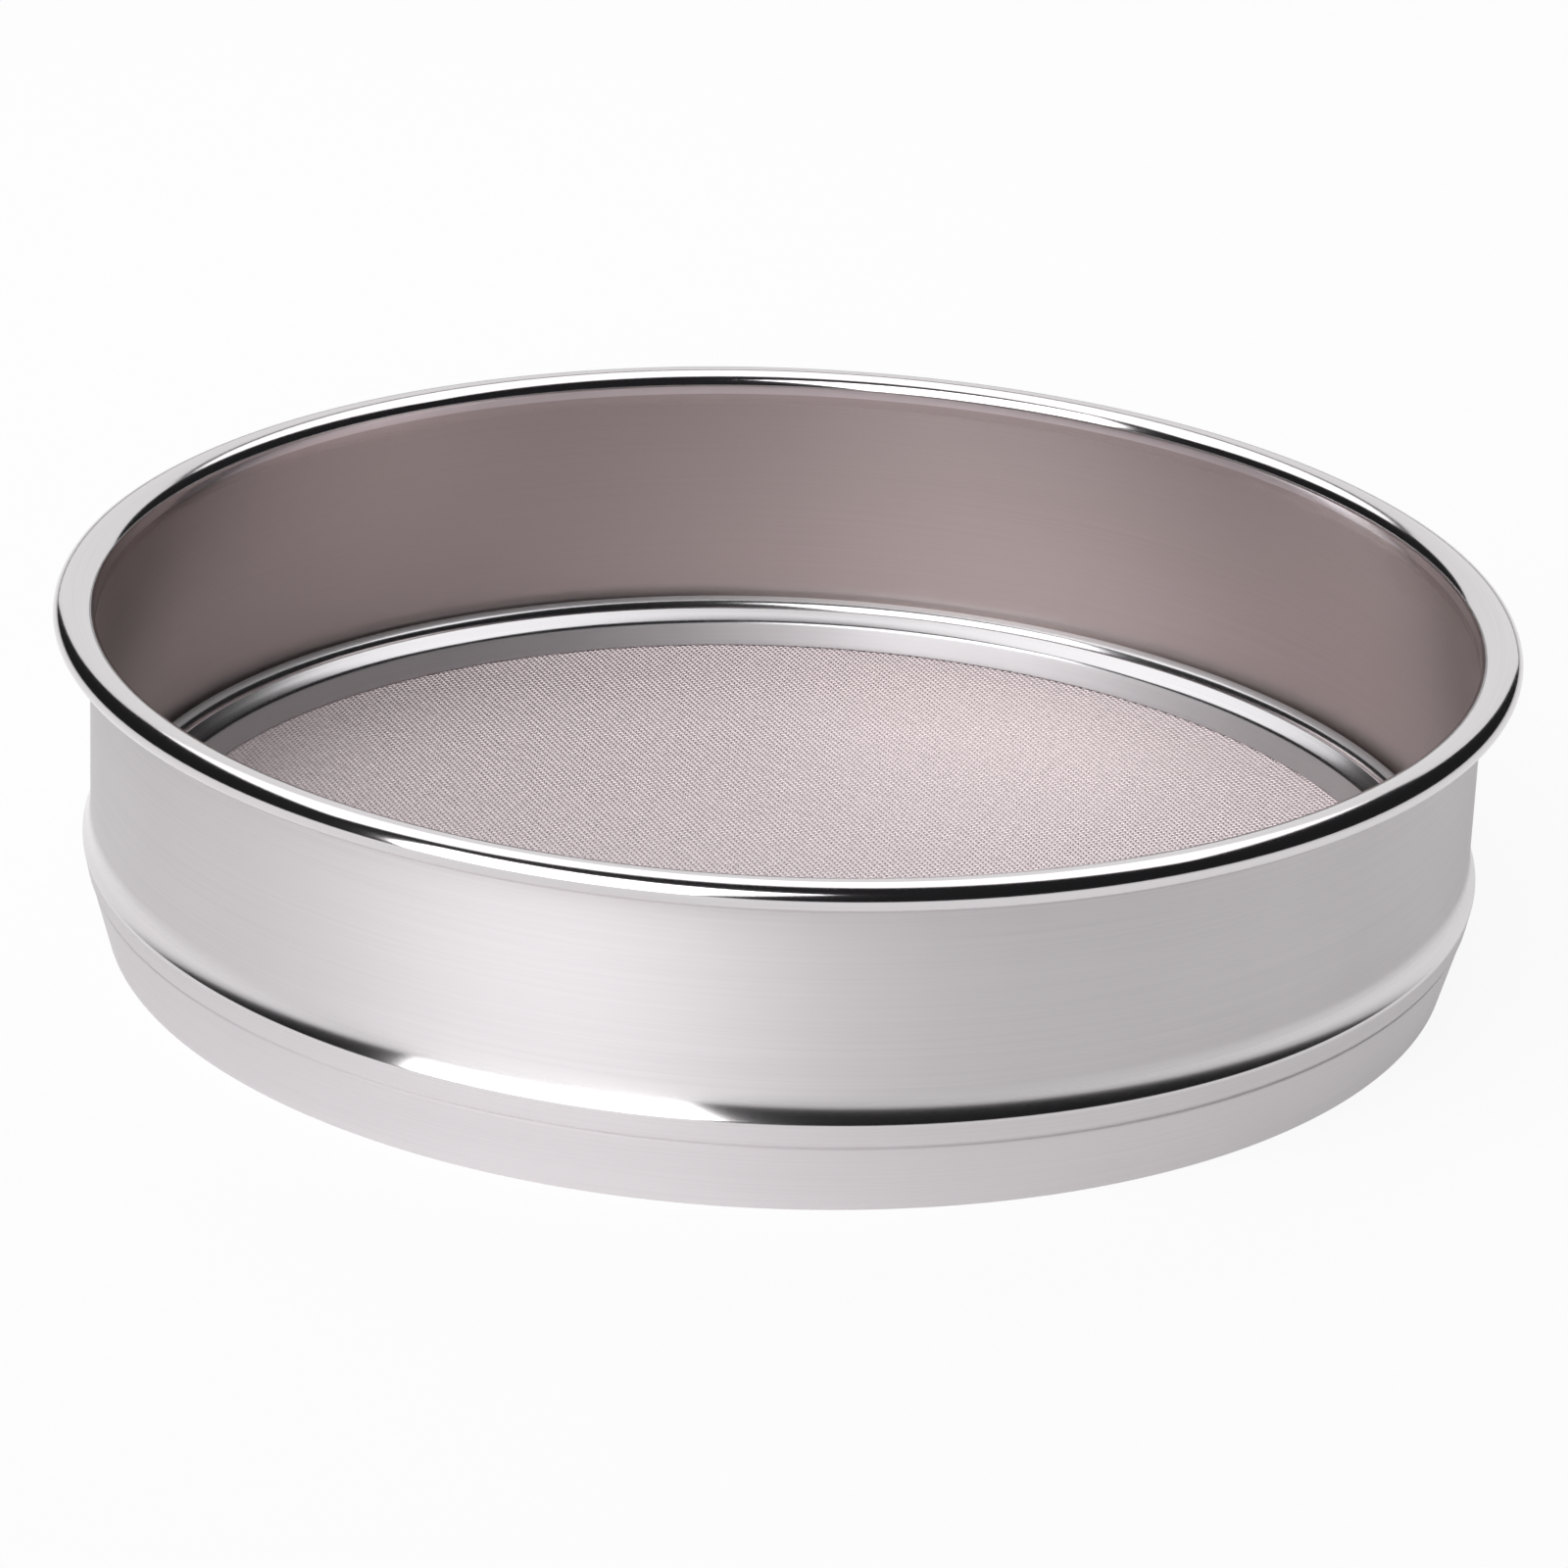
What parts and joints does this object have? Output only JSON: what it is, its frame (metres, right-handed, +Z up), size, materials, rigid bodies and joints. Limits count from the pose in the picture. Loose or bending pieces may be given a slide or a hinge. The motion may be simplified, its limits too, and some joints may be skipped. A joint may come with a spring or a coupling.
{
  "type": "sieve",
  "caption": "Round stainless steel sieve with a rolled rim, a flared shoulder, a tapered nesting skirt, and a woven wire bottom held down by a pressed clamp ring.",
  "frame": {"origin": "centre of the foot circle, on the surface that the sieve stands on", "axes": "+Z up along the axis of the round frame, towards the rolled rim; X and Y run along the wires of the cloth"},
  "size_m": [0.212, 0.212, 0.05],
  "materials": {
    "frame_steel": "satin spun stainless wall, polished rolled rim and shoulder",
    "cloth_steel": "plain woven stainless wire, fine square mesh",
    "ring_steel": "polished pressed stainless"
  },
  "bodies": {
    "root": {"sieve_frame": "frame_steel", "wire_cloth": "cloth_steel", "clamp_ring": "ring_steel"}
  },
  "joints": []
}
